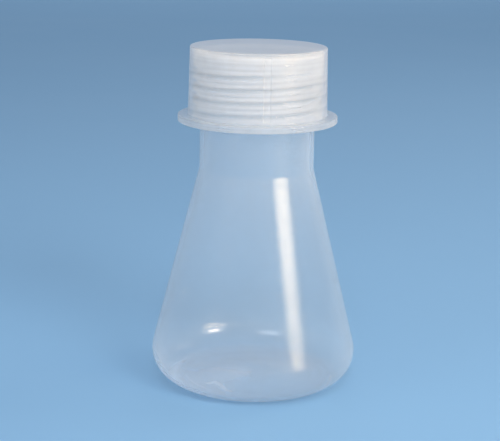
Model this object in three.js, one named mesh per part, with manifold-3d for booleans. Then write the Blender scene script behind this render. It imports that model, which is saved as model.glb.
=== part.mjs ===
// Screw-cap Erlenmeyer (conical) flask, nominal 250 ml, in translucent polypropylene.
// Millimetres, +Z up, origin at the centre of the base on the surface the flask stands on.
//
// Three separate pieces, as they come apart on a bench:
//   flask_body    one hollow moulding: base with a shallow push-up, conical body, neck and external neck thread
//   sealing_ring  flat gasket round the cap's plug, squeezed between the cap and the neck's rim
//   screw_cap     one moulding: plain skirt with a flange at its open end, internal thread and a short plug
//
// Azimuths are in degrees from the front (-Y) towards the right (+X).
import * as THREE from "three";
import { mergeVertices } from "three/addons/utils/BufferGeometryUtils.js";
import Module from "manifold-3d";

const wasm = await Module();
wasm.setup();

// ---- driving dimensions, mm ----
const SEGMENTS = 48; // facets round every turned surface

const BASE_R = 42.5; // widest radius of the body, diameter 85
const HEEL_R = 12.9; // radius of the heel between base and cone
const PUSH_UP_R = 24.5; // the base is dished upwards inside this radius
const PUSH_UP_H = 1.8; // height of the dish at the centre
const NECK_R = 23.35; // plain neck, diameter 46.7
const NECK_Z = 90.2; // height where the cone's line meets the neck's line
const SHOULDER_R = 6; // tight blend between cone and neck
const WALL = 1.5; // cone, heel and base
const BORE_R = 21.75; // bore of the neck
const FINISH_R = 24.3; // root radius of the threaded part of the neck
const FINISH_Z = 111.0; // height where the threaded part starts
const RIM_Z = 136.3; // sealing rim

const PITCH = 5.08; // 5 threads per inch, single start, right hand
const NECK_CREST_R = 25.9; // outer radius of the neck's thread
const NECK_RIDGE = 2.0; // width of its ridge at half depth
const NECK_RIDGE_Z = 113.77; // height of its centre line at azimuth 0, lowest turn
const CAP_CREST_R = 24.75; // inner radius of the cap's thread
const CAP_RIDGE = 1.75; // width of its ridge at half depth
const CAP_RIDGE_Z = 111.59; // height of its centre line at azimuth 0, one turn below its first
const FLANK = 0.36; // sideways run of a flank per mm of depth, about 20 degrees

const CAP_TOP_Z = 139.6;
const CAP_TOP_T = 1.8;
const SKIRT_TOP_R = 27.66; // the skirt has 1.3 degrees of draft
const SKIRT_BOTTOM_R = 28.28;
const SKIRT_BORE_R = 26.25;
const FLANGE_R = 32.4;
const FLANGE_Z0 = 109.4;
const FLANGE_Z1 = 112.0;
const EDGE = 0.6; // radius of the cap's top edge
const PLUG_R = 21.25; // centring plug inside the cap
const PLUG_BORE_R = 19.9;
const PLUG_Z = 134.2; // lower end of the plug
const INDEX_AZ = 7.2; // shallow moulded index groove down the skirt
const INDEX_W = 2.8;
const INDEX_D = 0.3;

const SEAL_R0 = 21.55;
const SEAL_R1 = 25.4;
const SEAL_Z0 = 136.35;
const SEAL_Z1 = 137.75;

// ---- helpers ----
const rad = (d) => (d * Math.PI) / 180;

// points of an arc in the (radius, height) plane
function arc(cr, cz, r, a0, a1, n) {
  const out = [];
  for (let i = 0; i <= n; i++) {
    const a = rad(a0 + ((a1 - a0) * i) / n);
    out.push([cr + r * Math.cos(a), cz + r * Math.sin(a)]);
  }
  return out;
}

// a turned solid from a closed (radius, height) profile
function turned(profile) {
  const points = profile.map(([r, z]) => new THREE.Vector2(Math.max(r, 0), z));
  const g = new THREE.LatheGeometry(points, SEGMENTS);
  g.rotateX(Math.PI / 2); // the lathe turns about Y: stand it up on Z
  return g;
}

// a helical thread ridge: a trapezoid drawn out straight, then wound round the axis.
// It grows out of the wall over `lead` degrees at each end.
function ridge({ rootR, crestR, width, z0, a0, a1, lead }) {
  const depth = Math.abs(crestR - rootR);
  const out = Math.sign(crestR - rootR);
  const buried = 0.55; // how far the ridge reaches into its wall
  const half = width / 2 + (FLANK * depth) / 2;
  const tip = width / 2 - (FLANK * depth) / 2;
  const shape = new THREE.Shape([
    new THREE.Vector2(-buried, -half),
    new THREE.Vector2(0, -half),
    new THREE.Vector2(depth, -tip),
    new THREE.Vector2(depth, tip),
    new THREE.Vector2(0, half),
    new THREE.Vector2(-buried, half),
  ]);
  const steps = Math.round(((a1 - a0) / 360) * SEGMENTS);
  const g = new THREE.ExtrudeGeometry(shape, {
    depth: 1,
    steps,
    bevelEnabled: false,
  });
  const p = g.getAttribute("position");
  for (let i = 0; i < p.count; i++) {
    const along = out > 0 ? 1 - p.getZ(i) : p.getZ(i);
    const az = a0 + (a1 - a0) * along;
    const grown = Math.min(1, (az - a0) / lead, (a1 - az) / lead);
    const s = Math.sin((Math.max(0, grown) * Math.PI) / 2);
    let d = p.getX(i);
    if (d > 0) d = d * s - 0.25 * (1 - s);
    const r = rootR + out * d;
    const z = z0 + (PITCH * az) / 360 + p.getY(i) * (0.35 + 0.65 * s);
    p.setXYZ(i, r * Math.sin(rad(az)), -r * Math.cos(rad(az)), z);
  }
  return g;
}

function solid(geometry) {
  let g = geometry.clone();
  g.deleteAttribute("normal");
  g.deleteAttribute("uv");
  g = mergeVertices(g, 1e-4);
  return new wasm.Manifold(
    new wasm.Mesh({
      numProp: 3,
      vertProperties: new Float32Array(g.getAttribute("position").array),
      triVerts: new Uint32Array(g.index.array),
    }),
  );
}

function geometryOf(manifold) {
  const m = manifold.getMesh();
  const xyz = new Float32Array(m.numVert * 3);
  for (let i = 0; i < m.numVert; i++)
    xyz.set(m.vertProperties.subarray(i * m.numProp, i * m.numProp + 3), i * 3);
  const g = new THREE.BufferGeometry();
  g.setAttribute("position", new THREE.BufferAttribute(xyz, 3));
  g.setIndex(new THREE.BufferAttribute(new Uint32Array(m.triVerts), 1));
  g.computeVertexNormals();
  return g;
}

function piece(name, geometry, material) {
  const mesh = new THREE.Mesh(geometry, material);
  mesh.name = name;
  return mesh;
}

// ---- flask body ----
// The cone is tangent to the heel circle and runs to the neck's corner.
const heelR = BASE_R - HEEL_R;
const toNeck = [NECK_R - heelR, NECK_Z - HEEL_R];
const reach = Math.hypot(...toNeck);
const tangent =
  (Math.atan2(toNeck[1], toNeck[0]) - Math.acos(HEEL_R / reach)) *
  (180 / Math.PI);
const slope = rad(90 + tangent); // direction of the cone's line, going up
const turn = slope - Math.PI / 2; // angle between cone and neck
const cut = SHOULDER_R * Math.tan(turn / 2);

const shoulderLow = [
  NECK_R - cut * Math.cos(slope),
  NECK_Z - cut * Math.sin(slope),
];
const shoulderC = [
  shoulderLow[0] + SHOULDER_R * Math.cos(slope - Math.PI / 2),
  shoulderLow[1] + SHOULDER_R * Math.sin(slope - Math.PI / 2),
];
const turnDeg = (turn * 180) / Math.PI;

const outside = [
  [0, PUSH_UP_H],
  [PUSH_UP_R * 0.5, PUSH_UP_H * 0.78],
  [PUSH_UP_R * 0.82, PUSH_UP_H * 0.36],
  [PUSH_UP_R, 0],
  ...arc(heelR, HEEL_R, HEEL_R, -90, tangent, 9),
  ...arc(shoulderC[0], shoulderC[1], SHOULDER_R, 180 + turnDeg, 180, 3),
  [NECK_R, FINISH_Z - 1.1],
  [FINISH_R, FINISH_Z],
  [FINISH_R, RIM_Z - 0.5],
  [FINISH_R - 0.5, RIM_Z],
];
// On the blend the inner wall is the same arc, one wall thickness further from its centre.
const inside = [
  [BORE_R + 0.35, RIM_Z],
  [BORE_R, RIM_Z - 0.35],
  ...arc(
    shoulderC[0],
    shoulderC[1],
    SHOULDER_R + (NECK_R - BORE_R),
    180,
    180 + turnDeg,
    3,
  ),
  ...arc(heelR, HEEL_R, HEEL_R - WALL, tangent, -90, 7),
  [PUSH_UP_R, WALL],
  [PUSH_UP_R * 0.82, WALL + PUSH_UP_H * 0.36],
  [PUSH_UP_R * 0.5, WALL + PUSH_UP_H * 0.78],
  [0, WALL + PUSH_UP_H],
];
const neckThread = ridge({
  rootR: FINISH_R,
  crestR: NECK_CREST_R,
  width: NECK_RIDGE,
  z0: NECK_RIDGE_Z,
  a0: -30,
  a1: 1260,
  lead: 37.5,
});
const flaskBody = solid(turned([...outside, ...inside])).add(solid(neckThread));

// ---- screw cap ----
const capProfile = [
  [0, CAP_TOP_Z - CAP_TOP_T],
  [PLUG_BORE_R, CAP_TOP_Z - CAP_TOP_T],
  [PLUG_BORE_R, PLUG_Z],
  [PLUG_R - 0.5, PLUG_Z],
  [PLUG_R, PLUG_Z + 1.0],
  [PLUG_R, CAP_TOP_Z - CAP_TOP_T],
  [SKIRT_BORE_R, CAP_TOP_Z - CAP_TOP_T],
  [SKIRT_BORE_R, FLANGE_Z0 + 0.8],
  [SKIRT_BORE_R + 0.6, FLANGE_Z0],
  ...arc(FLANGE_R - 0.4, FLANGE_Z0 + 0.4, 0.4, -90, 0, 2),
  ...arc(FLANGE_R - 0.4, FLANGE_Z1 - 0.4, 0.4, 0, 90, 2),
  [SKIRT_BOTTOM_R + 0.5, FLANGE_Z1],
  [SKIRT_BOTTOM_R, FLANGE_Z1 + 0.5],
  ...arc(SKIRT_TOP_R - EDGE, CAP_TOP_Z - EDGE, EDGE, 0, 90, 3),
  [0, CAP_TOP_Z],
];
const capThread = ridge({
  rootR: SKIRT_BORE_R,
  crestR: CAP_CREST_R,
  width: CAP_RIDGE,
  z0: CAP_RIDGE_Z,
  a0: 225,
  a1: 1485,
  lead: 37.5,
});
const grooveLength = CAP_TOP_Z - EDGE - FLANGE_Z1 - 0.5;
const draft = Math.atan((SKIRT_BOTTOM_R - SKIRT_TOP_R) / (CAP_TOP_Z - FLANGE_Z1));
const groove = new THREE.BoxGeometry(INDEX_W, 2, grooveLength);
groove.rotateX(-draft); // its floor follows the skirt's draft
groove.translate(
  0,
  -(SKIRT_TOP_R + SKIRT_BOTTOM_R) / 2 - 1 + INDEX_D,
  FLANGE_Z1 + 0.5 + grooveLength / 2,
);
groove.rotateZ(rad(INDEX_AZ));
const screwCap = solid(turned(capProfile))
  .add(solid(capThread))
  .subtract(solid(groove));

// ---- sealing ring ----
const sealRing = turned([
  [SEAL_R0 + 0.25, SEAL_Z0],
  [SEAL_R1 - 0.25, SEAL_Z0],
  [SEAL_R1, SEAL_Z0 + 0.25],
  [SEAL_R1, SEAL_Z1 - 0.25],
  [SEAL_R1 - 0.25, SEAL_Z1],
  [SEAL_R0 + 0.25, SEAL_Z1],
  [SEAL_R0, SEAL_Z1 - 0.25],
  [SEAL_R0, SEAL_Z0 + 0.25],
  [SEAL_R0 + 0.25, SEAL_Z0],
]);

// ---- materials ----
const naturalPP = new THREE.MeshStandardMaterial({
  color: 0xc9d8e6,
  roughness: 0.28,
  metalness: 0,
  transparent: true,
  opacity: 0.45,
});
const capPP = new THREE.MeshStandardMaterial({
  color: 0xdfe3e8,
  roughness: 0.38,
  metalness: 0,
  transparent: true,
  opacity: 0.8,
});
const silicone = new THREE.MeshStandardMaterial({
  color: 0xe6e8e6,
  roughness: 0.55,
  metalness: 0,
  transparent: true,
  opacity: 0.85,
});

const flask = new THREE.Group();
flask.add(
  piece("flask_body", geometryOf(flaskBody), naturalPP),
  piece("sealing_ring", sealRing, silicone),
  piece("screw_cap", geometryOf(screwCap), capPP),
);

export default flask;
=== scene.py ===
import math

import bmesh
import bpy
import numpy as np
from mathutils import Matrix, Vector


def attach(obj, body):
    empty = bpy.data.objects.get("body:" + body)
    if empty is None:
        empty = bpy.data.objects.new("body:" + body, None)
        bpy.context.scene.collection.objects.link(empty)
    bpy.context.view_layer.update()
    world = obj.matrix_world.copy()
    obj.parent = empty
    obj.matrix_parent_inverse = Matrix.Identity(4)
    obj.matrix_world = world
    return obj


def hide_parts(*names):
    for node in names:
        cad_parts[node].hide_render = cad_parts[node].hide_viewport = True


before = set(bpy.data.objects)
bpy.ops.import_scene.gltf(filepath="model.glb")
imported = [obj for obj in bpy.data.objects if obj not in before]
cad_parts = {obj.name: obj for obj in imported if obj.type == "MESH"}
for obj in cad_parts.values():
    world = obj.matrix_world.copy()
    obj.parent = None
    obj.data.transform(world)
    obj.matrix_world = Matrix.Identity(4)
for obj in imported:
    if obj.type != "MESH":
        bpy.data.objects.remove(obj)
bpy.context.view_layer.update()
MM = 0.001

# ---- dimensions, mm, as in the CAD model ----
BASE_R, HEEL_R = 42.5, 12.9
NECK_R, NECK_Z, SHOULDER_R, WALL, BORE_R = 23.35, 90.2, 4.5, 1.5, 21.75
FINISH_R, FINISH_Z, RIM_Z = 24.3, 111.0, 136.3
PUSH_R, PUSH_H = 24.5, 1.8
PITCH, FLANK = 5.08, 0.36
CAP_Z, CAP_T, EDGE = 139.6, 1.8, 0.6
SKIRT_TOP, SKIRT_LOW, SKIRT_BORE = 27.66, 28.28, 26.25
FLANGE_R, FLANGE_Z0, FLANGE_Z1 = 32.4, 109.4, 112.0
PLUG_R, PLUG_BORE, PLUG_Z = 21.25, 19.9, 134.2
GROOVE_AZ, GROOVE_W, GROOVE_D = 7.2, 2.8, 0.22
SEAL = (21.55, 25.4, 136.35, 137.75)
NECK_RIDGE = dict(root=FINISH_R, crest=25.9, width=2.0, z0=113.77, a0=-30.0, a1=1260.0, lead=37.5)
CAP_RIDGE = dict(root=SKIRT_BORE, crest=24.75, width=1.75, z0=111.59, a0=225.0, a1=1485.0, lead=37.5)


# the path of the painted highlight streak on the inside of the base, x and y in mm
PAINTED_GLINT_PATH = [(-18.0, -15.6), (-15.5, -14.3), (-12.5, -18.8), (-10.8, -23.3), (-8.7, -24.3)]

# ---- turned surfaces as grids of rows (up the profile) by columns (round the axis) ----
def arc(cr, cz, r, a0, a1, n):
    a = np.radians(np.linspace(a0, a1, n + 1))
    return [(cr + r * math.cos(t), cz + r * math.sin(t)) for t in a]


def line(p, q, n):
    return [(p[0] + (q[0] - p[0]) * i / n, p[1] + (q[1] - p[1]) * i / n) for i in range(1, n)]


def trapezoid(x, tip, root, soft):
    """Height 0..1 of a ridge at distance x from its centre line, its corners rounded over 2 * soft."""

    def area(u):  # integral of the sharp trapezoid from 0 to u
        s, u = np.sign(u), np.abs(u)
        flank = np.clip(u, tip, root) - tip
        return s * (np.minimum(u, tip) + flank - flank**2 / (2 * (root - tip)))

    return (area(x + soft) - area(x - soft)) / (2 * soft)


def ridge_height(az, z, g):
    """How far the helical ridge g stands off its wall at azimuth az and height z, in mm."""
    depth = abs(g["crest"] - g["root"])
    tip = g["width"] / 2 - FLANK * depth / 2
    root = g["width"] / 2 + FLANK * depth / 2
    turns = (z - g["z0"]) / PITCH - az / 360.0
    m = np.round(turns)
    along = az + 360.0 * m
    grown = np.minimum(1.0, np.minimum(along - g["a0"], g["a1"] - along) / g["lead"])
    s = np.sin(np.clip(grown, 0, 1) * math.pi / 2)
    squeeze = 0.35 + 0.65 * s
    return depth * s * trapezoid((turns - m) * PITCH / squeeze, tip, root, 0.16)


def helix_rows(g, z0, z1, cols):
    """Row heights that follow the helix of ridge g between two level rings: an array rows x columns."""
    depth = abs(g["crest"] - g["root"])
    tip = g["width"] / 2 - FLANK * depth / 2
    root = g["width"] / 2 + FLANK * depth / 2
    near = [0, tip * 0.5, tip - 0.16, tip - 0.06, tip + 0.04, tip + 0.16, (tip + root) / 2,
            root - 0.16, root - 0.05, root + 0.06, root + 0.17, (root + PITCH / 2) / 2 + 0.05]
    step = sorted({round(v, 4) for v in near} | {round(-v, 4) for v in near}) + [PITCH / 2]
    lowest = g["z0"] - PITCH * (math.ceil((g["z0"] - z0) / PITCH) + 2)
    rows = []
    turn = 0
    while lowest + PITCH * turn < z1 + 2 * PITCH:
        rows += [lowest + PITCH * turn + s for s in step]
        turn += 1
    return np.clip(np.array(rows)[:, None] + PITCH * cols[None, :] / 360.0, z0, z1)


class Turned:
    """Collects sections of a surface of revolution and joins them into one closed mesh."""

    def __init__(self, cols):
        self.cols = np.asarray(cols, float)  # azimuths from 0 to 360, both ends
        self.points, self.faces, self.values, self.count = [], [], [], 0
        self.uneven = None  # optional factors on milk and tone, a function of azimuth and height

    def section(self, r, z, milk, inner, tone=1.0, shine=1.0):
        """r, z, milk (how much the surface clouds what is behind it), inner (0 or 1), tone and shine, by rows x columns or rows."""
        shape = (len(r), len(self.cols))
        r, z, milk, inner, tone, shine = [
            np.broadcast_to(np.asarray(v, float) if np.ndim(v) != 1 else np.asarray(v, float)[:, None], shape)
            for v in (r, z, milk, inner, tone, shine)
        ]
        if self.uneven:
            more, lighter = self.uneven(self.cols[None, :], z)
            milk, tone = milk * more, tone * lighter
        a = np.radians(self.cols)[None, :]
        xyz = np.stack([r * np.sin(a), -r * np.cos(a), z], -1).reshape(-1, 3)
        rows, n = shape
        i, k = np.meshgrid(np.arange(rows - 1), np.arange(n - 1), indexing="ij")
        at = self.count + i * n + k
        self.faces.append(np.stack([at, at + 1, at + 1 + n, at + n], -1).reshape(-1, 4))
        self.points.append(xyz)
        self.values.append(np.stack([milk, inner, tone, shine], -1).reshape(-1, 4))
        self.count += len(xyz)

    def profile(self, points, milk, inner, tone=1.0, shine=1.0):
        """milk is a number, one per point, or a function of height; tone is a number or one per point."""
        r, z = np.array(points, float).T
        if callable(milk):
            milk = milk(z)
        self.section(r, z, np.ones(len(r)) * milk, inner, np.ones(len(r)) * tone, shine)

    def build(self, name, sharp=50):
        xyz = np.concatenate(self.points) * MM
        mesh = bpy.data.meshes.new(name)
        mesh.from_pydata(xyz.tolist(), [], np.concatenate(self.faces).tolist())
        values = np.concatenate(self.values).astype(np.float32)
        for column, key in ((0, "milk"), (1, "inner_face"), (2, "tone"), (3, "shine")):
            layer = mesh.attributes.new(key, "FLOAT", "POINT")
            layer.data.foreach_set("value", np.ascontiguousarray(values[:, column]))
        bm = bmesh.new()
        bm.from_mesh(mesh)
        bmesh.ops.remove_doubles(bm, verts=bm.verts, dist=2e-6)
        bmesh.ops.dissolve_degenerate(bm, edges=bm.edges, dist=1e-6)
        bmesh.ops.recalc_face_normals(bm, faces=bm.faces)
        if bm.calc_volume(signed=True) < 0:
            bmesh.ops.reverse_faces(bm, faces=bm.faces)
        open_edges = sum(1 for e in bm.edges if not e.is_manifold)
        if open_edges:
            print("OPEN EDGES", name, open_edges)
        bm.to_mesh(mesh)
        bm.free()
        mesh.shade_smooth()
        mesh.set_sharp_from_angle(angle=math.radians(sharp))
        ob = bpy.data.objects.new(name, mesh)
        bpy.context.scene.collection.objects.link(ob)
        print("PIECE", name, len(mesh.vertices), "vertices", len(mesh.polygons), "faces")
        return ob


# ---- flask body ----
heel_c = BASE_R - HEEL_R
to_neck = (NECK_R - heel_c, NECK_Z - HEEL_R)
tangent = math.degrees(math.atan2(to_neck[1], to_neck[0]) - math.acos(HEEL_R / math.hypot(*to_neck)))
slope = math.radians(90 + tangent)
lean = slope - math.pi / 2
cut = SHOULDER_R * math.tan(lean / 2)
low = (NECK_R - cut * math.cos(slope), NECK_Z - cut * math.sin(slope))
sh_c = (low[0] + SHOULDER_R * math.cos(lean), low[1] + SHOULDER_R * math.sin(lean))
lean_deg = math.degrees(lean)


def base_line(offset):
    """The dished base from the axis out to the ring it stands on; offset lifts it by the wall."""
    rows = []
    for t in np.linspace(0, 1, 40):
        r = PUSH_R * t
        dish = PUSH_H * (0.5 + 0.5 * math.cos(math.pi * min(1.0, (t / 1.0) ** 1.6)))
        # a shallow moulded disc in the middle
        disc = 0.22 * (1 - 1 / (1 + math.exp(-(r - 6.5) / 0.25)))
        rows.append((r, max(dish - disc, 0.0) + offset))
    return rows


def flask_milk(z):
    """Partly the blown wall, thickest in the neck, thinnest low on the cone and a little thicker again at the heel, and
    partly painted light: the upper part is made milkier, and so lighter, as if more light fell there.
    """
    return np.interp(z, [0, 2.5, 5, 12, 20, 34, 70, 90, 112], [0.098, 0.096, 0.080, 0.084, 0.072, 0.062, 0.098, 0.142, 0.160])


def flask_wall_and_painted_light(az, z):
    """Painted light and shade: the left-front heel is made milkier and lighter, a painted patch of light; the upper
    right of the cone and the neck likewise, painted light from the right; and the tone is darker low on the cone,
    painted shade and partly a thinner wall.
    """
    # painted light: a lighter, milkier patch on the left-front heel
    turn = np.abs((az + 60 + 180) % 360 - 180)
    thick = np.exp(-((turn / 46) ** 2)) * np.exp(-(((z - 2) / 9) ** 2))
    # painted shade: the tone is darker low on the cone, and partly a thinner wall there
    shade_and_thin_wall = np.interp(z, [0, 6, 14, 22, 40, 70, 90, 112], [1.0, 1.0, 0.90, 0.81, 0.79, 0.87, 0.93, 0.96])
    # painted light: the right side of the upper cone and the neck made milkier and lighter
    right = np.exp(-((((az - 80 + 180) % 360 - 180) / 45) ** 2)) * np.clip((z - 62) / 26, 0, 1)
    return 1 + 1.5 * thick + 0.45 * right, shade_and_thin_wall + 0.14 * thick + 0.07 * right


def painted_base_glint(az, r, z):
    """A short wavy streak on the inside of the base, 0..1 by azimuth and radius: a painted highlight, made milkier and
    lighter, for the key light's reflection there.
    """
    x, y = r * np.sin(np.radians(az)), -r * np.cos(np.radians(az))
    near = np.full(np.broadcast(x, y).shape, 99.0)
    for (ax, ay), (bx, by) in zip(PAINTED_GLINT_PATH[:-1], PAINTED_GLINT_PATH[1:]):
        share = np.clip(((x - ax) * (bx - ax) + (y - ay) * (by - ay)) / ((bx - ax) ** 2 + (by - ay) ** 2), 0, 1)
        near = np.minimum(near, np.hypot(x - ax - share * (bx - ax), y - ay - share * (by - ay)))
    return np.where(z < 5, np.exp(-((near / 1.05) ** 2)), 0.0)


def make_flask():
    cols = np.linspace(0, 360, 209)
    t = Turned(cols)
    t.uneven = flask_wall_and_painted_light
    # outside, from the axis up
    base = base_line(0.0)
    heel = arc(heel_c, HEEL_R, HEEL_R, -90, tangent, 30)
    under = base + line(base[-1], heel[0], 8) + heel
    # painted highlight: a lighter, milkier ring along the bottom of the heel just above the floor; painted shade: a
    # darker, clearer strip above it
    edge = [math.exp(-(((q - 33.2) / 1.5) ** 2)) if z < 4 else 0.0 for q, z in under]
    painted_dark_band = [math.exp(-(((q - 36.8) / 1.6) ** 2)) if z < 6 else 0.0 for q, z in under]
    t.profile(under, [flask_milk(z) + 0.07 * a - 0.03 * b for (_, z), a, b in zip(under, edge, painted_dark_band)], 0,
              [1.0 + 0.12 * a - 0.14 * b for a, b in zip(edge, painted_dark_band)])
    shoulder = arc(sh_c[0], sh_c[1], SHOULDER_R, 180 + lean_deg, 180, 8)
    t.profile([heel[-1]] + line(heel[-1], shoulder[0], 40) + shoulder, flask_milk, 0)
    step = [(NECK_R, FINISH_Z - 1.6)]
    step += arc(NECK_R + 0.35, FINISH_Z - 1.15, 0.35, 180, 138, 3)
    step += arc(FINISH_R - 0.4, FINISH_Z - 0.35, 0.4, -42, 0, 4)
    t.profile([shoulder[-1]] + line(shoulder[-1], step[0], 6) + step[:1], flask_milk, 0)
    t.profile(step, flask_milk, 0, 1.0, 0.0)
    t.profile([step[-1], (FINISH_R, FINISH_Z)], 0.10, 0, 1.0, 0.0)
    rows = helix_rows(NECK_RIDGE, FINISH_Z, RIM_Z - 1.2, cols)
    high = ridge_height(cols[None, :], rows, NECK_RIDGE)
    t.section(FINISH_R + high, rows, 0.10 + 0.30 * high, 0, 1.0, 0.1)
    rim = [(FINISH_R, RIM_Z - 1.2)] + arc(FINISH_R - 0.55, RIM_Z - 0.55, 0.55, 0, 90, 6)
    rim += arc(BORE_R + 0.45, RIM_Z - 0.45, 0.45, 90, 180, 6)
    t.profile(rim, 0.22, 0, 1.0, 0.0)
    # inside, down again
    neck_in = [rim[-1]] + line(rim[-1], (BORE_R, sh_c[1]), 24) + [(BORE_R, sh_c[1])]
    t.profile(neck_in, flask_milk, 1)
    shoulder_in = arc(sh_c[0], sh_c[1], SHOULDER_R + NECK_R - BORE_R, 180, 180 + lean_deg, 8)
    heel_in = arc(heel_c, HEEL_R, HEEL_R - WALL, tangent, -90, 26)
    t.profile([neck_in[-1]] + shoulder_in[1:] + line(shoulder_in[-1], heel_in[0], 40), flask_milk, 1)
    back = base_line(WALL)[::-1]
    floor_in = [line(shoulder_in[-1], heel_in[0], 40)[-1]] + heel_in + line(heel_in[-1], back[0], 8) + back
    marks = [0.05 * math.exp(-(((q - 31.5) / 0.6) ** 2)) + 0.08 * math.exp(-(((q - 28.6) / 0.5) ** 2))
             + 0.08 * math.exp(-(((q - 24.3) / 0.4) ** 2)) if z < 4 else 0.0 for q, z in floor_in]
    r, z = np.array(floor_in).T[:, :, None]
    milk = flask_milk(z) + np.array(marks)[:, None]
    # painted highlight: the wavy streak on the inside of the base is made milkier and lighter
    t.section(r, z, milk + 0.16 * painted_base_glint(cols[None, :], r, z), 1, 1 + 0.12 * painted_base_glint(cols[None, :], r, z))
    return t.build("flask_body_moulding", 60)


# ---- screw cap ----
def thread_milk_and_painted_shade(az, z):
    """Milk and tone of the skirt's threaded bore: its ridge over the neck's ridge is dense and a little paler; painted
    shade darkens the deep hollow between, and a painted highlight lightens a line along the ridge.
    """
    g = CAP_RIDGE
    turns = (z - g["z0"]) / PITCH - az / 360.0
    m = np.round(turns)
    s = (turns - m) * PITCH  # mm above the ridge's centre line
    along = az + 360.0 * m
    grown = np.clip(np.minimum(along - g["a0"], g["a1"] - along) / 60.0, 0, 1)
    # painted shade in the deep hollow below each ridge
    painted_gap_shade = np.where(s > -1.12, np.exp(-(((s + 1.1) / 0.5) ** 2)), np.exp(-(((s + 1.1) / 1.3) ** 2))) * grown
    ridge = trapezoid(s, 0.75, 1.15, 0.2) * grown
    # painted highlight, a lighter, milkier line along the ridge
    lip = np.exp(-(((s - 0.0) / 0.75) ** 2)) * grown
    top = np.clip((z - 133.0) / 1.2, 0, 1)
    milk = 0.46 + 0.08 * ridge + 0.08 * lip + 0.08 * top
    # faint painted shade and highlight lines where the neck's ridge and the ridge's upper flank stand behind the wall
    faint = np.exp(-(((s - 1.25) / 0.22) ** 2)) - 0.7 * np.exp(-(((s - 1.85) / 0.25) ** 2))
    tone = 0.94 + 0.01 * ridge + 0.05 * lip - 0.26 * painted_gap_shade - 0.025 * faint * grown
    return milk, tone


def skirt_radius(z):
    return SKIRT_LOW + (SKIRT_TOP - SKIRT_LOW) * (z - FLANGE_Z1) / (CAP_Z - FLANGE_Z1)


def groove_depth(az, z):
    """The index groove down the skirt: flat floor, small radii at its edges, closed at both ends."""
    across = np.abs((az - GROOVE_AZ + 180) % 360 - 180) * math.pi / 180 * 28.0
    side = trapezoid(across, GROOVE_W / 2 - 0.18, GROOVE_W / 2 + 0.18, 0.12)
    mid, half = (CAP_Z - EDGE + FLANGE_Z1) / 2, (CAP_Z - EDGE - FLANGE_Z1) / 2 - 0.92
    return GROOVE_D * side * trapezoid(z - mid, half - 0.2, half + 0.2, 0.12)


def cap_columns():
    """Even columns, with extra ones where the groove's edges are."""
    base = list(np.linspace(0, 360, 193))
    for centre in (GROOVE_AZ,):
        for side in (-1, 1):
            edge = side * math.degrees(GROOVE_W / 2 / 28.0)
            base += [centre + edge + d for d in (-0.9, -0.62, -0.45, -0.3, -0.15, 0, 0.15, 0.3, 0.45, 0.62, 0.9)]
    cols = np.array(sorted(base))
    keep = [0]
    for i in range(1, len(cols)):
        if cols[i] - cols[keep[-1]] > 0.12:
            keep.append(i)
    cols = cols[keep]
    cols[-1] = 360.0
    return cols


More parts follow.
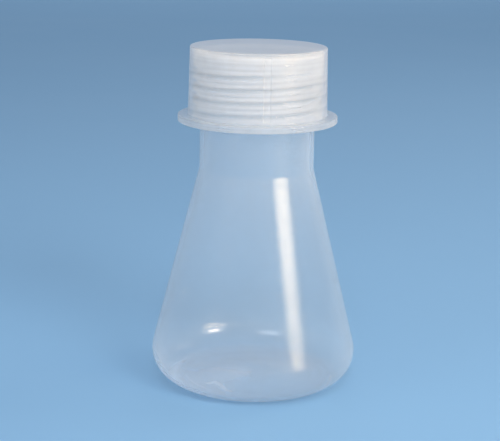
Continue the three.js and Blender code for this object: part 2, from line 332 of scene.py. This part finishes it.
def make_cap():
    cols = cap_columns()
    t = Turned(cols)
    under = CAP_Z - CAP_T
    # inside, from the axis out and down
    disc = [(r, under) for r in np.linspace(0, PLUG_BORE - 0.4, 14)]
    disc += arc(PLUG_BORE - 0.4, under - 0.4, 0.4, 90, 0, 4)
    # painted shade: the underside of the top is painted darker and bluer
    t.profile(disc, 0.28, 1, 0.89)
    plug = [disc[-1]] + line(disc[-1], (PLUG_BORE, PLUG_Z + 0.3), 4)
    plug += arc(PLUG_BORE + 0.3, PLUG_Z + 0.3, 0.3, 180, 270, 4)
    plug += arc(PLUG_R - 0.55, PLUG_Z + 0.4, 0.4, -90, -25, 4)
    plug += [(PLUG_R, PLUG_Z + 1.0), (PLUG_R, PLUG_Z + 1.6), (PLUG_R, under - 0.3)]
    plug += arc(PLUG_R + 0.3, under - 0.3, 0.3, 180, 90, 4)
    t.profile(plug, 0.2, 1, 1.0, 0.0)
    seat = [plug[-1]] + line(plug[-1], (SKIRT_BORE - 0.4, under), 4)
    seat += arc(SKIRT_BORE - 0.4, under - 0.4, 0.4, 90, 0, 4)
    t.profile(seat, 0.3, 1, 1.0, 0.0)
    z1, z0 = under - 0.4, FLANGE_Z0 + 0.9
    rows = helix_rows(CAP_RIDGE, z0, z1, cols)
    high = ridge_height(cols[None, :], rows, CAP_RIDGE)
    milk, tone = thread_milk_and_painted_shade(cols[None, :], rows)
    # the thread's painted shade and highlight, made stronger on the bore
    t.section(SKIRT_BORE - high, rows, milk + 0.14, 1, 0.98 + 1.35 * (tone - 0.98), 0.0)
    mouth = [(SKIRT_BORE, z0)] + arc(SKIRT_BORE + 0.5, z0 - 0.4, 0.5, 180, 270, 6)
    mouth = [(r, max(z, FLANGE_Z0)) for r, z in mouth]
    lip = arc(FLANGE_R - 0.35, FLANGE_Z0 + 0.35, 0.35, -90, 0, 5)
    lip2 = arc(FLANGE_R - 0.35, FLANGE_Z1 - 0.35, 0.35, 0, 90, 5)
    # painted shade: the flange is painted darker, and the fillet at the skirt's root darker still
    t.profile(mouth + line(mouth[-1], lip[0], 5) + lip[:1], 0.34, 0, 0.84, 0.0)
    t.profile(lip + line(lip[-1], lip2[0], 3) + lip2, 0.36, 0, 0.84, 0.5)
    root = arc(skirt_radius(FLANGE_Z1 + 0.55) + 0.55, FLANGE_Z1 + 0.55, 0.55, 270, 180, 6)
    t.profile([lip2[-1]] + line(lip2[-1], root[0], 3) + root, 0.34, 0, 0.78)
    zs = np.linspace(root[-1][1], CAP_Z - EDGE, 110)
    zs = np.unique(np.concatenate([zs, [FLANGE_Z1 + 0.3 + d for d in np.linspace(0.3, 1.2, 7)],
                                   [CAP_Z - EDGE - d for d in np.linspace(0.1, 1.2, 8)]]))
    r = skirt_radius(zs)[:, None] - groove_depth(cols[None, :], zs[:, None])
    milk, tone = thread_milk_and_painted_shade(cols[None, :], zs[:, None])
    index = groove_depth(cols[None, :], zs[:, None]) / GROOVE_D
    # the outer skin is clearer, and the thread's painted shade and highlight show faintly on it
    t.section(r, zs, 0.30 + 0.35 * (milk - 0.46) + 0.05 * index, 0, 1.0 + 0.7 * (tone - 0.95) + 0.02 * index)
    top = arc(skirt_radius(CAP_Z - EDGE) - EDGE, CAP_Z - EDGE, EDGE, 0, 90, 8)
    top += [(r, CAP_Z) for r in np.linspace(top[-1][0], 0, 18)[1:]]
    # painted shade: the top is painted darker and bluer than the skirt; towards the rim it is denser and painted
    # lighter
    rim_density_and_light = [np.clip((q - 25.6) / 0.8, 0, 1) for q, _ in top]
    t.profile(top, [0.40 + 0.08 * e for e in rim_density_and_light], 0, [0.89 + 0.07 * e for e in rim_density_and_light])
    return t.build("screw_cap_moulding", 60)


# ---- sealing ring ----
def make_seal():
    t = Turned(np.linspace(0, 360, 129))
    r0, r1, z0, z1 = SEAL
    k = 0.4
    ring = arc(r1 - k, z0 + k, k, -90, 0, 6) + arc(r1 - k, z1 - k, k, 0, 90, 6)
    ring += arc(r0 + k, z1 - k, k, 90, 180, 6) + arc(r0 + k, z0 + k, k, 180, 270, 6)
    mid = (r0 + r1) / 2
    # the rim has pressed a shallow track into the underside
    ring += [(mid - 0.9, z0), (mid - 0.7, z0 + 0.05), (mid + 0.7, z0 + 0.05), (mid + 0.9, z0), ring[0]]
    t.profile(ring, 0.8, 0)
    return t.build("sealing_gasket", 60)


# ---- materials ----
def sock(node, name):
    return node.inputs[name]


class Nodes:
    def __init__(self, name):
        self.mat = bpy.data.materials.new(name)
        self.mat.use_nodes = True
        self.nt = self.mat.node_tree
        self.nt.nodes.clear()
        self.out = self.nt.nodes.new("ShaderNodeOutputMaterial")

    def node(self, kind, **inputs):
        n = self.nt.nodes.new(kind)
        for key, value in inputs.items():
            self.put(n.inputs[int(key[1:]) if key[0] == "_" and key[1:].isdigit() else key.replace("__", " ")], value)
        return n

    def put(self, socket, value):
        if hasattr(value, "is_output") or isinstance(value, bpy.types.NodeSocket):
            self.nt.links.new(value, socket)
        else:
            socket.default_value = value

    def math(self, op, a, b=None, clamp=False):
        n = self.nt.nodes.new("ShaderNodeMath")
        n.operation = op
        n.use_clamp = clamp
        self.put(n.inputs[0], a)
        if b is not None:
            self.put(n.inputs[1], b)
        return n.outputs[0]

    def noise(self, vector, scale, detail=3.0, rough=0.5, distortion=0.0):
        n = self.node("ShaderNodeTexNoise", Vector=vector, Scale=scale, Detail=detail, Roughness=rough, Distortion=distortion)
        return n.outputs["Fac"]

    def remap(self, value, a, b, c, d, clamp=True):
        n = self.nt.nodes.new("ShaderNodeMapRange")
        n.clamp = clamp
        self.put(n.inputs["Value"], value)
        for key, v in zip(("From Min", "From Max", "To Min", "To Max"), (a, b, c, d)):
            self.put(n.inputs[key], v)
        return n.outputs["Result"]

    def mix_shader(self, fac, a, b):
        n = self.nt.nodes.new("ShaderNodeMixShader")
        self.put(n.inputs[0], fac)
        self.nt.links.new(a, n.inputs[1])
        self.nt.links.new(b, n.inputs[2])
        return n.outputs[0]


def plastic(name, tint, edge, gloss, inner_gloss, mirror, through=0.45, wave=0.02, marks=0.03, inner_mirror=1.0):
    """Thin translucent plastic: a milky scatter, denser where the wall is thick or seen edge-on, under a clear gloss."""
    m = Nodes(name)
    coord = m.node("ShaderNodeTexCoord").outputs["Object"]
    wall = m.node("ShaderNodeAttribute")
    wall.attribute_name = "milk"
    inner = m.node("ShaderNodeAttribute")
    inner.attribute_name = "inner_face"
    facing = m.node("ShaderNodeLayerWeight", Blend=0.5).outputs["Facing"]
    # slow clouding and flow of the melt, drawn out along the axis
    flow = m.node("ShaderNodeMapping", Vector=coord)
    flow.inputs["Scale"].default_value = (60, 60, 14)
    cloud = m.noise(flow.outputs[0], 1.0, 4.0, 0.55, 0.4)
    fine = m.noise(coord, 320.0, 2.0, 0.5)
    # faint rings left by the turned tool
    lathe = m.node("ShaderNodeMapping", Vector=coord)
    lathe.inputs["Scale"].default_value = (12, 12, 1100)
    rings = m.noise(lathe.outputs[0], 1.0, 2.0, 0.5)
    haze = m.math("MULTIPLY", wall.outputs["Fac"], m.remap(cloud, 0.3, 0.7, 0.88, 1.12))
    haze = m.math("MULTIPLY", haze, m.remap(fine, 0.3, 0.7, 0.96, 1.04))
    haze = m.math("MULTIPLY", haze, m.remap(rings, 0.3, 0.7, 1.0 - marks, 1.0 + marks))
    clear = m.math("POWER", math.e, m.math("MULTIPLY", haze, -1.0))
    outer = m.remap(inner.outputs["Fac"], 0, 1, 1.0, 0.04)
    rim = m.math("MULTIPLY", m.math("MULTIPLY", m.math("POWER", facing, edge[1]), edge[0]), outer)
    clear = m.math("MULTIPLY", clear, m.math("SUBTRACT", 1.0, rim))
    solid = m.math("SUBTRACT", 1.0, clear, clamp=True)
    # surface: slow waviness of the moulding and the fine grain of the tool
    waves = m.noise(flow.outputs[0], 0.8, 2.0, 0.5)
    bump = m.node("ShaderNodeBump", Strength=1.0, Distance=wave * MM, Height=waves)
    grain = m.noise(coord, 900.0, 2.0, 0.5)
    bump2 = m.node("ShaderNodeBump", Strength=1.0, Distance=0.0018 * MM, Height=grain, Normal=bump.outputs[0])
    scuff = m.noise(coord, 130.0, 5.0, 0.6, 0.6)
    rough = m.math("ADD", m.remap(inner.outputs["Fac"], 0, 1, gloss, inner_gloss), m.remap(scuff, 0.35, 0.75, -0.02, 0.04))
    tone = m.node("ShaderNodeMix")
    tone.data_type = "RGBA"
    m.put(tone.inputs[0], cloud)
    tone.inputs[6].default_value = (*[c * 0.97 for c in tint], 1)
    tone.inputs[7].default_value = (*tint, 1)
    depth = m.node("ShaderNodeAttribute")
    depth.attribute_name = "tone"
    shade = m.node("ShaderNodeMix")
    shade.data_type = "RGBA"
    shade.blend_type = "MULTIPLY"
    shade.inputs[0].default_value = 1.0
    m.put(shade.inputs[6], tone.outputs[2])
    # the tone attribute carries painted shade and highlight: below 1 it dims the colour and blues it, as for light that
    # has gone deeper into the plastic
    deep = m.nt.nodes.new("ShaderNodeCombineColor")
    for key, power in (("Red", 1.14), ("Green", 1.0), ("Blue", 0.9)):
        m.put(deep.inputs[key], m.math("POWER", depth.outputs["Fac"], power))
    m.put(shade.inputs[7], deep.outputs[0])
    tone = shade
    body = m.node("ShaderNodeBsdfPrincipled", Roughness=rough, Normal=bump2.outputs[0])
    m.put(body.inputs["Base Color"], tone.outputs[2])
    body.inputs["Specular IOR Level"].default_value = 0.0
    back = m.node("ShaderNodeBsdfTranslucent", Normal=bump2.outputs[0])
    m.put(back.inputs["Color"], tone.outputs[2])
    milk = m.mix_shader(through, body.outputs[0], back.outputs[0])
    open_ = m.node("ShaderNodeBsdfTransparent")
    open_.inputs["Color"].default_value = (1, 1, 1, 1)
    film = m.mix_shader(solid, open_.outputs[0], milk)
    shine = m.node("ShaderNodeBsdfGlossy", Roughness=rough, Normal=bump2.outputs[0])
    shine.inputs["Color"].default_value = (1, 1, 1, 1)
    fresnel = m.math("MULTIPLY", m.math("MULTIPLY", m.math("POWER", facing, 5.0), mirror[1]), outer)
    fresnel = m.math("ADD", fresnel, m.remap(inner.outputs["Fac"], 0, 1, mirror[0], mirror[0] * inner_mirror))
    polish = m.node("ShaderNodeAttribute")
    polish.attribute_name = "shine"
    fresnel = m.math("MULTIPLY", fresnel, polish.outputs["Fac"])
    final = m.mix_shader(fresnel, film, shine.outputs[0])
    m.nt.links.new(final, m.out.inputs["Surface"])
    return m.mat


def opaque(name, colour, rough, scale, amount):
    m = Nodes(name)
    coord = m.node("ShaderNodeTexCoord").outputs["Object"]
    n = m.noise(coord, scale, 3.0, 0.5)
    mix = m.node("ShaderNodeMix")
    mix.data_type = "RGBA"
    m.put(mix.inputs[0], n)
    mix.inputs[6].default_value = (*[c * (1 - amount) for c in colour], 1)
    mix.inputs[7].default_value = (*[min(c * (1 + amount), 1) for c in colour], 1)
    body = m.node("ShaderNodeBsdfPrincipled")
    m.put(body.inputs["Base Color"], mix.outputs[2])
    m.put(body.inputs["Roughness"], m.remap(n, 0.3, 0.7, rough - 0.04, rough + 0.04))
    m.nt.links.new(body.outputs[0], m.out.inputs["Surface"])
    return m.mat


flask_mat = plastic("natural_pp_flask", (0.72, 0.775, 0.83), (0.62, 2.6), 0.165, 0.26, (0.042, 0.75), inner_mirror=0.28)
cap_mat = plastic("natural_pp_cap", (0.955, 0.905, 0.865), (0.5, 3.0), 0.30, 0.4, (0.035, 0.85), wave=0.01, marks=0.10, inner_mirror=0.2)
seal_mat = plastic("silicone_seal", (0.92, 0.93, 0.93), (0.3, 3.0), 0.5, 0.5, (0.03, 0.4), wave=0.01)

flask = make_flask()
cap = make_cap()
seal = make_seal()
for piece, mat, body, node, slot in (
    (flask, flask_mat, "flask", "flask_body", "flask_plastic"),
    (seal, seal_mat, "seal", "sealing_ring", "seal"),
    (cap, cap_mat, "cap", "screw_cap", "cap_plastic"),
):
    piece.data.materials.append(mat)
    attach(piece, body)
    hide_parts(node)

# ---- floor, light and camera ----
floor_mesh = bpy.data.meshes.new("floor")
bm = bmesh.new()
bmesh.ops.create_circle(bm, cap_ends=True, segments=96, radius=6.0)
bm.to_mesh(floor_mesh)
bm.free()
floor = bpy.data.objects.new("floor", floor_mesh)
bpy.context.scene.collection.objects.link(floor)
floor_mesh.materials.append(opaque("pale_floor", (0.19, 0.365, 0.575), 0.6, 3.0, 0.01))
floor.location.z = -0.15 * MM

world = bpy.data.worlds.new("studio")
bpy.context.scene.world = world
world.use_nodes = True
bg = world.node_tree.nodes["Background"]
wn = world.node_tree.nodes
direction = wn.new("ShaderNodeSeparateXYZ")
world.node_tree.links.new(wn.new("ShaderNodeTexCoord").outputs["Generated"], direction.inputs[0])
sky = wn.new("ShaderNodeValToRGB")
world.node_tree.links.new(direction.outputs["Z"], sky.inputs[0])
stops = sky.color_ramp.elements
stops[0].position, stops[0].color = 0.0, (0.22, 0.32, 0.44, 1)
stops[1].position, stops[1].color = 0.85, (0.25, 0.265, 0.28, 1)
low_sky = stops.new(0.05)
low_sky.color = (0.42, 0.50, 0.62, 1)
mid = stops.new(0.28)
mid.color = (0.74, 0.71, 0.68, 1)
# a blue sweep behind the flask
behind = wn.new("ShaderNodeMapRange")
for key, value in (("From Min", 0.1), ("From Max", 0.8), ("To Min", 0.0), ("To Max", 0.75)):
    behind.inputs[key].default_value = value
world.node_tree.links.new(direction.outputs["Y"], behind.inputs["Value"])
sweep = wn.new("ShaderNodeMix")
sweep.data_type = "RGBA"
world.node_tree.links.new(behind.outputs["Result"], sweep.inputs[0])
world.node_tree.links.new(sky.outputs[0], sweep.inputs[6])
sweep.inputs[7].default_value = (0.31, 0.58, 0.97, 1)
world.node_tree.links.new(sweep.outputs[2], bg.inputs["Color"])
# the room is darker behind the flask than in front of it
depth = wn.new("ShaderNodeMapRange")
for key, value in (("From Min", -0.6), ("From Max", 0.8), ("To Min", 1.1), ("To Max", 0.55)):
    depth.inputs[key].default_value = value
world.node_tree.links.new(direction.outputs["Y"], depth.inputs["Value"])
world.node_tree.links.new(depth.outputs["Result"], bg.inputs["Strength"])


def area(name, azimuth, elevation, distance, size, watts, size_y=None, shape="DISK", colour=(1, 0.95, 0.89), target=(0, 0, 0.07)):
    data = bpy.data.lights.new(name, "AREA")
    data.shape = shape
    data.size = size
    if size_y:
        data.size_y = size_y
    data.energy = watts
    data.color = colour
    ob = bpy.data.objects.new(name, data)
    bpy.context.scene.collection.objects.link(ob)
    a, e = math.radians(azimuth), math.radians(elevation)
    way = Vector((math.sin(a) * math.cos(e), -math.cos(a) * math.cos(e), math.sin(e)))
    ob.location = Vector(target) + way * distance
    ob.rotation_mode = "QUATERNION"
    ob.rotation_quaternion = (-way).to_track_quat("-Z", "Y")
    ob.visible_camera = False
    return ob


def softbox(name, azimuth, distance, outline, low, high):
    """A glowing panel that faces the flask: outline is (height, left, right) rows in mm, dimmer at its lower end
    and fading out past its right edge."""
    verts, faces, levels = [], [], []
    columns = [(0, 0, 1), (0.5, 0, 1), (1, 0, 1), (1, 8, 0.3), (1, 60, 0.13), (1, 150, 0.03), (1, 190, 0)]
    a = math.radians(azimuth)
    out, side = Vector((math.sin(a), -math.cos(a), 0)), Vector((math.cos(a), math.sin(a), 0))
    for z, left, right in outline:
        for share, past, level in columns:
            verts.append(out * distance + side * (left + (right - left) * share + past) * MM + Vector((0, 0, z * MM)))
            levels.append(level)
    n = len(columns)
    for i in range(len(outline) - 1):
        for k in range(n - 1):
            v = i * n + k
            faces.append((v, v + 1, v + 1 + n, v + n))
    mesh = bpy.data.meshes.new(name)
    mesh.from_pydata([tuple(v) for v in verts], [], faces)
    mesh.attributes.new("level", "FLOAT", "POINT").data.foreach_set("value", levels)
    ob = bpy.data.objects.new(name, mesh)
    bpy.context.scene.collection.objects.link(ob)
    m = Nodes(name + "_glow")
    z = m.node("ShaderNodeSeparateXYZ", Vector=m.node("ShaderNodeTexCoord").outputs["Object"]).outputs["Z"]
    level = m.remap(z, outline[0][0] * MM, outline[-1][0] * MM, low, high)
    fade = m.node("ShaderNodeAttribute")
    fade.attribute_name = "level"
    glow = m.node("ShaderNodeEmission", Strength=m.math("MULTIPLY", level, fade.outputs["Fac"]))
    glow.inputs["Color"].default_value = (1, 0.79, 0.53, 1)
    m.nt.links.new(glow.outputs[0], m.out.inputs["Surface"])
    mesh.materials.append(m.mat)
    ob.visible_camera = ob.visible_diffuse = ob.visible_transmission = False
    return ob


softbox("strip_softbox", 50, 0.8, [(60, -62, 78), (180, -128, 118), (320, -246, 190)], 6.6, 14.8)
# the light that panel throws, as an even panel of the same size and power
area("strip_fill", 52, 10, 0.81, 0.33, 4.0, 0.26, "RECTANGLE", (1, 0.79, 0.53)).visible_glossy = False
area("key", 34, 31, 1.2, 0.5, 8.5).visible_glossy = False
# small panels that only show as glints in the gloss
for glint in (area("key_glint", 54.5, 31.5, 1.2, 0.3, 7.5, colour=(1, 0.83, 0.64)), area("rim_glint", 117, 37, 1.5, 0.6, 1.4),
              area("fill_glint", -26, 52, 1.5, 0.5, 7.0, 0.5, "RECTANGLE", (0.92, 0.96, 1.0))):
    glint.visible_diffuse = glint.visible_transmission = False
area("fill", 0, 50, 1.5, 0.5, 7.0, 0.5, "RECTANGLE", (0.92, 0.96, 1.0)).visible_glossy = False
area("rim", 110, 30, 1.5, 0.8, 8.0, 0.8, "RECTANGLE", (1, 0.87, 0.74)).visible_glossy = False
# broad low panels that only fill the shade, and two over the floor behind and in front
for soft in (area("front_left", -54, 12, 1.3, 0.9, 6.3, 0.6, "RECTANGLE"), area("front", 22, 18, 1.4, 0.8, 2.4, 0.6, "RECTANGLE"),
             area("behind", 180, 48, 2.0, 2.0, 28, 1.6, "RECTANGLE", target=(0, 2.2, 0)),
             area("floor_front", 180, 48, 2.0, 2.4, 30, 1.6, "RECTANGLE", target=(0, -3.1, 0))):
    soft.visible_glossy = False

cam_data = bpy.data.cameras.new("camera")
cam_data.sensor_width = 36.0
cam_data.lens = 96.87
cam_data.clip_start, cam_data.clip_end = 0.01, 100
camera = bpy.data.objects.new("camera", cam_data)
bpy.context.scene.collection.objects.link(camera)
pitch, roll = math.radians(13.878), math.radians(1.076)
ahead = Vector((0, math.cos(pitch), -math.sin(pitch)))
up0, right0 = Vector((0, math.sin(pitch), math.cos(pitch))), Vector((1, 0, 0))
up = up0 * math.cos(roll) - right0 * math.sin(roll)
right = right0 * math.cos(roll) + up0 * math.sin(roll)
m = Matrix((
    (right.x, up.x, -ahead.x, -0.002253),
    (right.y, up.y, -ahead.y, -0.540609),
    (right.z, up.z, -ahead.z, 0.201007),
    (0, 0, 0, 1),
))
camera.matrix_world = m
bpy.context.scene.camera = camera

scene = bpy.context.scene
scene.view_settings.view_transform = "Standard"
scene.view_settings.look = "None"
scene.cycles.transparent_max_bounces = 48
scene.cycles.max_bounces = 16
scene.cycles.caustics_reflective = False
